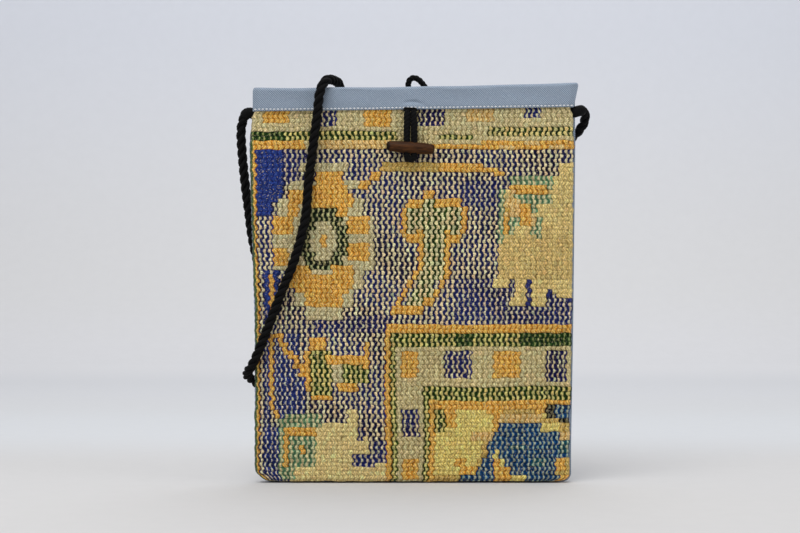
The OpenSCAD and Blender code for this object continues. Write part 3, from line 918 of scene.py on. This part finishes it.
def cloth_grid(inset, extra_right, top_drop, step):
    """x and z of a grid over the sack's outline."""
    rows = int(MOUTH_H / step)
    cols = int(230 / step)
    s, t = np.meshgrid(np.linspace(0, 1, cols), np.linspace(0, 1, rows))
    t = 0.5 - 0.5 * np.cos(math.pi * t) * (1 - 0.15 * np.sin(math.pi * t) ** 2)
    middle = mouth_z(1)
    z = inset + t * (middle - top_drop - inset)
    left = side_x(z, -1, inset)
    right = side_x(z, 1, inset, extra_right)
    x = left + s * (right - left)
    z = z + t * (mouth_z(x) - middle)
    return x, z, np.minimum(np.minimum(x - left, right - x), z - inset)


def back_cloth():
    """The padded twill back, gathered a little along the line of stitches that runs round its edge."""
    x, z, inside = cloth_grid(0, 1.5, 1.6, 1.9)
    turned = edge_fall(inside, BACK_EDGE_R)
    loose = smooth((inside - 4) / 25)
    folds = 0.7 * ripple(x * 0.35, z, 42, 21) + 0.35 * ripple(x, z, 28, 22)
    pucker = 0.18 * ripple(x, z, 7, 23) * np.exp(-((inside - 6) / 4) ** 2)
    sewn = 0.45 * np.exp(-((inside - 3) / 0.9) ** 2)
    y = depth(x, z) + BACK_OUT - turned - sewn + folds * loose * 0.8 + pucker
    return slab("twill_back", x, z, y, depth(x, z) + SHELL_IN)


back = piece(back_cloth(), twill, ["back_panel"])


def lining(name, side, node, seed):
    """Inner cotton with soft creases, pulled flat at its edges."""
    x, z, inside = cloth_grid(5.2, 0, BAND_H + 0.2, 3)
    held = smooth(inside / 12)
    crease = 0.22 * ripple(x, z * 0.5, 26, seed) * held
    y = depth(x, z)
    obj = slab(name, x, z, side * (y + LINING_OUT - 0.25 + crease), side * (y + LINING_IN + 0.25 + crease))
    piece(obj, cotton, [node])


lining("front_inner_cloth", -1, "front_lining", 31)
lining("back_inner_cloth", 1, "back_lining", 32)


# --- Band round the mouth ---

BAND_EDGE_R = 1.8
STITCH_PITCH = 2.7


def band_top(x):
    """Top of the band: a little low in the middle, with rounded ends."""
    u = x / BAND_RIGHT
    sag = -0.55 + 1.85 * u * u + 0.3 * u
    ends = edge_fall(np.minimum(x - BAND_LEFT, BAND_RIGHT - x), BAND_EDGE_R)
    return mouth_z(x) + sag - ends + 0.2 * ripple(x, x * 0, 45, 41)


def band_low(x):
    return mouth_z(x) - BAND_H - 1.2 + 0.8 * (x / BAND_RIGHT) ** 2


def folded_band(name, side, outer, extra, node):
    """Cloth folded over the mouth's edge: out along its outside, over the top and down inside."""
    x = np.concatenate([np.linspace(BAND_LEFT, BAND_LEFT + 4, 7)[:-1],
                        np.linspace(BAND_LEFT + 4, BAND_RIGHT - 4, 150),
                        np.linspace(BAND_RIGHT - 4, BAND_RIGHT, 7)[1:]])
    cloth = 0.8
    half = (outer - LINING_IN) / 2
    rise = half * 0.7
    top = band_top(x)
    low = band_low(x)
    leg = 26
    down = np.linspace(0, 1, leg)
    over = np.linspace(0, math.pi, 13)[1:-1]
    end = np.minimum(x - BAND_LEFT, BAND_RIGHT - x)
    drawn = 2.4 * (1 - smooth(end / 5))
    rings = []
    for k in range(len(x)):
        z_leg = low[k] + (top[k] - rise - low[k]) * down
        out_leg = np.stack([outer + extra(x[k], z_leg - low[k]), z_leg], axis=1)
        out_leg[0, 0] -= 0.5
        arc = np.stack([LINING_IN + half * (1 + np.cos(over)), top[k] - rise + rise * np.sin(over)], axis=1)
        in_leg = np.stack([np.full(leg, LINING_IN), z_leg[::-1]], axis=1)
        outline = np.concatenate([out_leg, arc, in_leg])
        away = np.gradient(outline, axis=0)
        away = unit(np.stack([-away[:, 1], away[:, 0]], axis=1))
        # Each end is tucked in, so that it is closed
        tucked = 1 - smooth(end[k] / 1.5)
        inner = outline + (cloth + (half - 0.02 - cloth) * tucked) * away
        ring = np.concatenate([outline, inner[::-1]])
        ring[:, 0] -= np.clip(ring[:, 0], 0, None) / outer * drawn[k]
        rings.append(ring)
    rings = np.array(rings)
    up = (rings[..., 1] - low[:, None]) / (top - low)[:, None]
    at = x[:, None] + smooth((x[:, None] - 84) / 32) * (3.4 * up - 2.2)
    y = side * (rings[..., 0] + bow(np.clip(at, -CHORD_HALF, CHORD_HALF)))
    rows, cols = rings.shape[:2]
    faces = grid_faces(rows, cols, wrap=True).tolist()
    for start in (0, (rows - 1) * cols):
        last = start + cols - 1
        faces += [[start + i, start + i + 1, last - i - 1, last - i] for i in range(cols // 2 - 1)]
    obj = make_mesh(name, xyz(at, y, rings[..., 1]), faces)
    piece(obj, twill, [node])


def cord_swell(x, up):
    """How the front band stands out over the sewn ends of the toggle cord, with a crease above them."""
    crease_up = 5.6 - 0.035 * (x + 1) ** 2
    return 2.2 * hump(x, up, -0.6, 1.8, 7, 3.4) - 1.5 * hump(x, up, 1.2, crease_up, 7.5, 1.0)


def groove(up):
    """The line of stitches, drawn into the band."""
    return -0.3 * np.exp(-((up - 1.3) / 0.7) ** 2)


def front_band_shape(x, up):
    """Unevenness, the swell over the toggle cord's sewn end, and pinches at the stitches."""
    pinch = 0.12 * math.sin(TURN * x / STITCH_PITCH) * np.exp(-((up - 1.4) ** 2))
    return 0.3 * ripple(x, up * 1.5, 24, 42) * smooth(up / 4) + cord_swell(x, up) + pinch + groove(up)


def back_band_shape(x, up):
    return 0.35 * ripple(x, up * 1.5, 26, 43) * smooth(up / 4) + groove(up)


folded_band("front_mouth_band", -1, FRONT_BAND_OUT, front_band_shape, "front_band")
folded_band("back_mouth_band", 1, BACK_BAND_OUT, back_band_shape, "back_band")


# --- Seams and stitching ---

SEAM_PITCH = 4.5
SEAM_ROUND = ring_angles(20)


def seam_strip(name, side, low, high, node):
    """The joint of rug and back cloth down one side, with over-and-over yarn stitches."""
    z = np.linspace(low, high, int((high - low) / 0.9))[:, None]
    stitch = np.abs(np.sin(math.pi * z / SEAM_PITCH))
    edge = side_x(z, side)
    up, out = np.cos(SEAM_ROUND), np.sin(SEAM_ROUND)
    gap = CORE_OUT + bow(np.clip(np.abs(edge), 0, CHORD_HALF)) + 0.15
    x = edge - side * 2.5 * (1 - up) + side * 0.5 * stitch * (up > 0.3)
    obj = tube_piece(name, xyz(x, gap * (1 + 0.16 * stitch) * out, z + 0.8 * out * np.clip(up, 0, 1)))
    piece(obj, seam_cloth, [node])


seam_strip("left_seam_joint", -1, 9, 253, "left_side_seam")
seam_strip("right_seam_joint", 1, 9, 254.5, "right_side_seam")


def bottom_joint():
    """The turned-in fold along the base."""
    x = np.linspace(-103, 104, 230)[:, None]
    stitch = np.abs(np.sin(math.pi * x / SEAM_PITCH))
    y = (CORE_OUT + BASE_GAP + 0.1) * np.sin(SEAM_ROUND)
    z = 2.3 + (2.0 - 0.35 * stitch) * np.cos(SEAM_ROUND)
    obj = tube_piece("base_joint", xyz(x + 0.5 * np.sin(SEAM_ROUND), y, z))
    piece(obj, seam_cloth, ["bottom_fold"])


bottom_joint()


def band_stitches(name, side, outer, node):
    """One row of white stitches just above the band's lower edge."""
    x = np.arange(BAND_LEFT + 2, BAND_RIGHT - 2.5, STITCH_PITCH)
    wander = 0.12 * ripple(x, x * 0, 20, 51)
    y = side * (bow(x) + outer - 0.1)
    if side < 0:
        y = y - cord_swell(x, 1.3)
    centres = xyz(x, y, band_low(x) + 1.3 + wander)
    obj = stitches(name, centres, length=1.75, radius=0.46, inwards=(0, -side, 0))
    piece(obj, thread, [node])


band_stitches("front_band_stitches", -1, FRONT_BAND_OUT, "front_band_stitching")
band_stitches("back_band_stitches", 1, BACK_BAND_OUT, "back_band_stitching")


def edge_stitches(name, x, z, node):
    """A row of stitches on the back cloth, sunk in its groove."""
    centres = xyz(x, depth(x, z) + BACK_OUT - 0.15, z)
    obj = stitches(name, centres, length=2.2, radius=0.38, inwards=(0, -1, 0))
    piece(obj, thread, [node])


side_z = np.arange(22, 259, 3.4)
edge_stitches("left_back_stitches", side_x(side_z, -1, 3), side_z, "left_edge_stitching")
edge_stitches("right_back_stitches", side_x(side_z, 1, 3, 1.5), side_z, "right_edge_stitching")
base_x = np.arange(-88, 89, 3.4)
edge_stitches("base_back_stitches", base_x, np.full(len(base_x), 3.1), "bottom_edge_stitching")


# --- Toggle, its cord, and the closing loop ---

def bored_toggle():
    """A turned barrel of wood, drilled across for the two strands."""
    half = 16.9
    t = np.sin(np.linspace(-1, 1, 61) * math.pi / 2)
    swell = 4.3 - 0.95 * np.abs(t) ** 1.7 - 0.15 * np.exp(-((np.abs(t) - 0.93) / 0.06) ** 2)
    end_round = 1.9
    cap = np.clip((np.abs(t) * half - (half - end_round)) / end_round, 0, 1)
    radius = swell - end_round * (1 - np.sqrt(1 - 0.98 * cap**2))
    tilt = math.radians(4.4)
    line = xyz(CLOSURE_X + t * half * math.cos(tilt), TOGGLE_Y, TOGGLE_Z - t * half * math.sin(tilt))
    # Slight flats left by hand work
    flats = 1 + 0.012 * np.sin(3 * ring_angles(64) + 1)[None, :, None]
    rings = line[:, None] + (tube(line, radius, 64) - line[:, None]) * flats
    barrel = tube_piece("wooden_toggle", rings)
    for x in STRAND_X:
        post = xyz(x, TOGGLE_Y, TOGGLE_Z + np.array([-10.0, 0.0, 10.0]))
        cutter = tube_piece("cutter", tube(post, 2.1, 48))
        cut = barrel.modifiers.new("bore", "BOOLEAN")
        cut.operation = "DIFFERENCE"
        cut.solver = "EXACT"
        cut.object = cutter
        cut_barrel = barrel.evaluated_get(bpy.context.evaluated_depsgraph_get())
        result = bpy.data.meshes.new_from_object(cut_barrel)
        barrel.modifiers.clear()
        barrel.data = result
        bpy.data.objects.remove(cutter)
    barrel.data.name = "wooden_toggle"
    barrel.data.materials.clear()
    barrel.data.shade_smooth()
    barrel.data.set_sharp_from_angle(angle=math.radians(40))
    return barrel


piece(bored_toggle(), wood_material(), ["toggle"], "toggle")


def closure_cord(name, route, thin, replaced):
    """A closing cord on no body of its own, with its transform baked into its points."""
    line = spline(route, 0.55)
    obj = plied(name, line, plies=3, offset=1.08, ply_r=1.46, pitch=8.5, sides=12, thin=thin(line))
    piece(obj, cord_black, replaced, body=None)
    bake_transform(obj)


turn_r = 2.6
turn_z = 231.4
u_turn = [(CLOSURE_X - turn_r * math.cos(a), TOGGLE_Y, turn_z - turn_r * math.sin(a))
          for a in np.linspace(0, math.pi, 9)]
# Each strand comes out flat from under the band, then hangs in front of the rug
toggle_half = [(2.2, -13.1, 268.4), (2.2, -13.6, 266.6), (2.2, -14.2, 264.6), (2.25, -15.3, 261),
               (2.35, -16.5, 255), (2.6, TOGGLE_Y, 248), (2.6, TOGGLE_Y, 240)]
toggle_route = [(CLOSURE_X - out, y, z) for out, y, z in toggle_half] + u_turn
toggle_route += [(CLOSURE_X + out, y, z) for out, y, z in reversed(toggle_half)]
closure_cord("toggle_cord_strands", toggle_route, lambda line: 1 - 0.62 * smooth((line[:, 2] - 260.5) / 5.5),
             ["toggle_cord"])

loop_route = [(-3.4, LOOP_Y, 264.5), (-3.4, LOOP_Y, 272), (-3.5, LOOP_Y, 279), (-3.5, LOOP_Y, 284.2),
              (-2.1, LOOP_Y, 287.2), (0.7, LOOP_Y, 288.2), (3.9, LOOP_Y, 286.8), (6.6, LOOP_Y, 284),
              (8.8, LOOP_Y, 280.6), (9.5, LOOP_Y, 276.5), (8.6, LOOP_Y, 271), (7.2, LOOP_Y, 264.5)]
closure_cord("closing_loop_cord", loop_route, lambda line: 0.87,
             ["closure_loop", "loop_root"])


def thread_bar(name, x0, x1, y, z0, z1, bulge, node):
    """Rows of thread wound side by side over the ends of a cord."""
    count = round((z1 - z0) / 0.62)
    t = np.linspace(-1, 1, 15)
    x = (x0 + x1) / 2 + t * (x1 - x0) / 2
    radii = 0.36 * np.sqrt(1.05 - t**8)
    tubes = []
    for k in range(count):
        z = z0 + (z1 - z0) * (k + 0.5) / count
        tubes.append(tube(xyz(x, y + bulge * (1 - t**4), z + 0.12 * np.sin(3 * t + k)), radii, 10))
    obj = tube_piece(name, *tubes)
    fibres(obj, np.concatenate(tubes)[..., 0].ravel() / 8, 0)
    piece(obj, cord_black, [node])


thread_bar("toggle_cord_sewing", -7.5, 3.3, -13.6, 262.6, 265.4, -2.3, "toggle_cord_tack")
thread_bar("loop_sewing", -5.6, 9.4, LOOP_Y, 262.8, 266.8, -2.2, "loop_tack")
